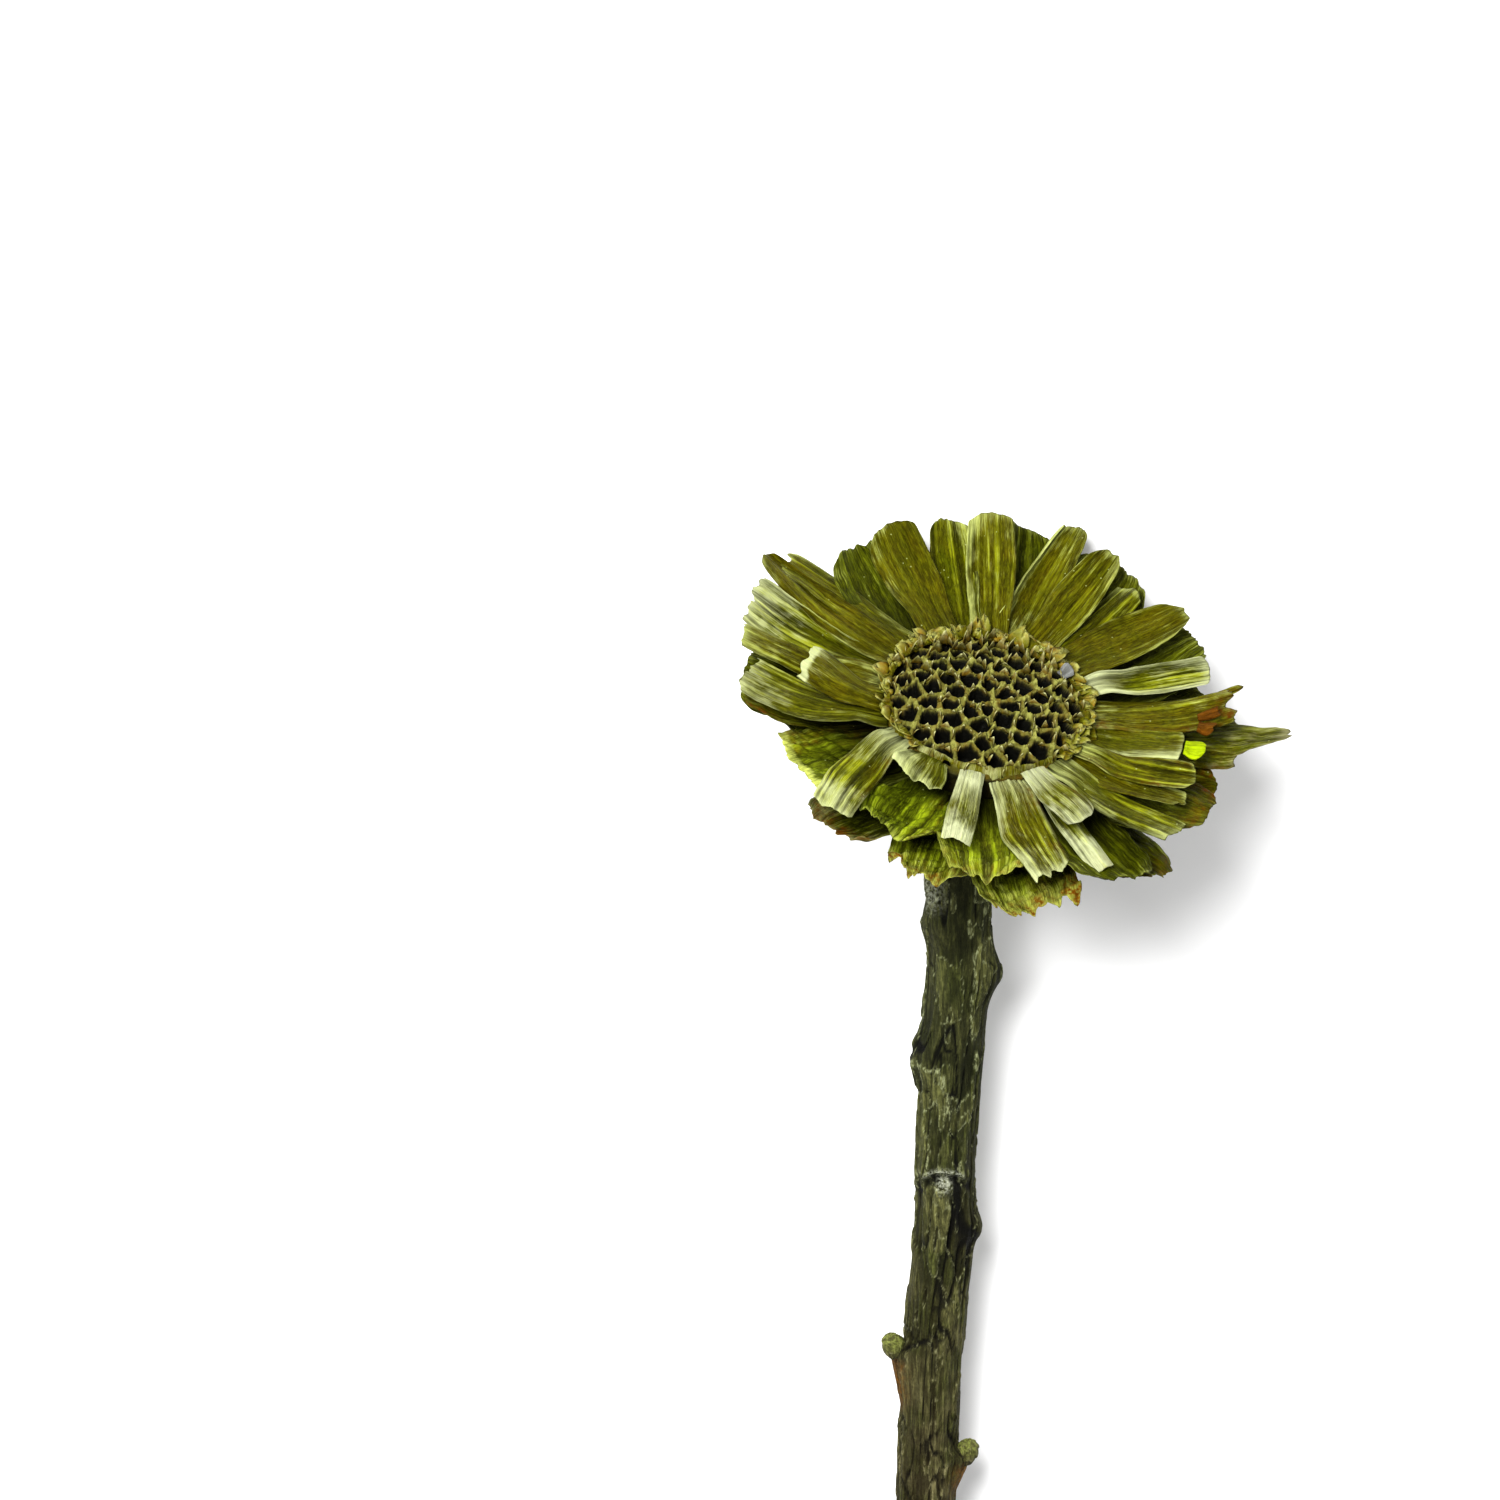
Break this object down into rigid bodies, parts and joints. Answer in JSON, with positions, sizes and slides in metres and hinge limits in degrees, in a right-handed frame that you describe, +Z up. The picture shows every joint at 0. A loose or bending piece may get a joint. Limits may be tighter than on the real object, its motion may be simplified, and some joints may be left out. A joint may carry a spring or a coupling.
{
  "type": "dried protea flower head on stem",
  "caption": "Dried, green-dyed protea flower head cut open to a flat rosette of strap-like bracts round a honeycombed disc, on a length of woody stem that lies on its side.",
  "frame": {"origin": "centre of the footprint, on the table that the flower lies on", "axes": "+Z up, +Y along the stem from its cut end to the flower head, +X to the flower's right when its face is looked at with the stem below"},
  "size_m": [0.0857, 0.2955, 0.0675],
  "materials": {
    "stem_bark": "rough, furrowed, flaking bark",
    "stem_bud": "matt, scaly",
    "receptacle": "matt, honeycombed and papery",
    "inner_bract": "satin, finely ribbed along its length",
    "outer_bract": "satin, leathery, ruffled and torn at the edge",
    "basal_scale": "matt, woody"
  },
  "bodies": {
    "root": {"back_bract_01": "outer_bract", "back_bract_02": "outer_bract", "back_bract_03": "outer_bract", "back_bract_04": "outer_bract", "back_bract_05": "outer_bract", "back_bract_06": "outer_bract", "back_bract_07": "outer_bract", "back_bract_08": "outer_bract", "back_bract_09": "outer_bract", "back_bract_10": "outer_bract", "back_bract_11": "outer_bract", "back_bract_12": "outer_bract", "basal_scale_01": "basal_scale", "basal_scale_02": "basal_scale", "basal_scale_03": "basal_scale", "basal_scale_04": "basal_scale", "basal_scale_05": "basal_scale", "inner_bract_01": "inner_bract", "inner_bract_02": "inner_bract", "inner_bract_03": "inner_bract", "inner_bract_04": "inner_bract", "inner_bract_05": "inner_bract", "inner_bract_06": "inner_bract", "inner_bract_07": "inner_bract", "inner_bract_08": "inner_bract", "inner_bract_09": "inner_bract", "inner_bract_10": "inner_bract", "inner_bract_11": "inner_bract", "inner_bract_12": "inner_bract", "inner_bract_13": "inner_bract", "inner_bract_14": "inner_bract", "inner_bract_15": "inner_bract", "inner_bract_16": "inner_bract", "inner_bract_17": "inner_bract", "inner_bract_18": "inner_bract", "inner_bract_19": "inner_bract", "inner_bract_20": "inner_bract", "inner_bract_21": "inner_bract", "inner_bract_22": "inner_bract", "inner_bract_23": "inner_bract", "inner_bract_24": "inner_bract", "inner_bract_25": "inner_bract", "outer_bract_01": "outer_bract", "outer_bract_02": "outer_bract", "outer_bract_03": "outer_bract", "outer_bract_04": "outer_bract", "outer_bract_05": "outer_bract", "outer_bract_06": "outer_bract", "outer_bract_07": "outer_bract", "outer_bract_08": "outer_bract", "outer_bract_09": "outer_bract", "outer_bract_10": "outer_bract", "outer_bract_11": "outer_bract", "outer_bract_12": "outer_bract", "receptacle": "receptacle", "stem": "stem_bark", "stem_bud_lower": "stem_bud", "stem_bud_upper": "stem_bud"}
  },
  "joints": []
}
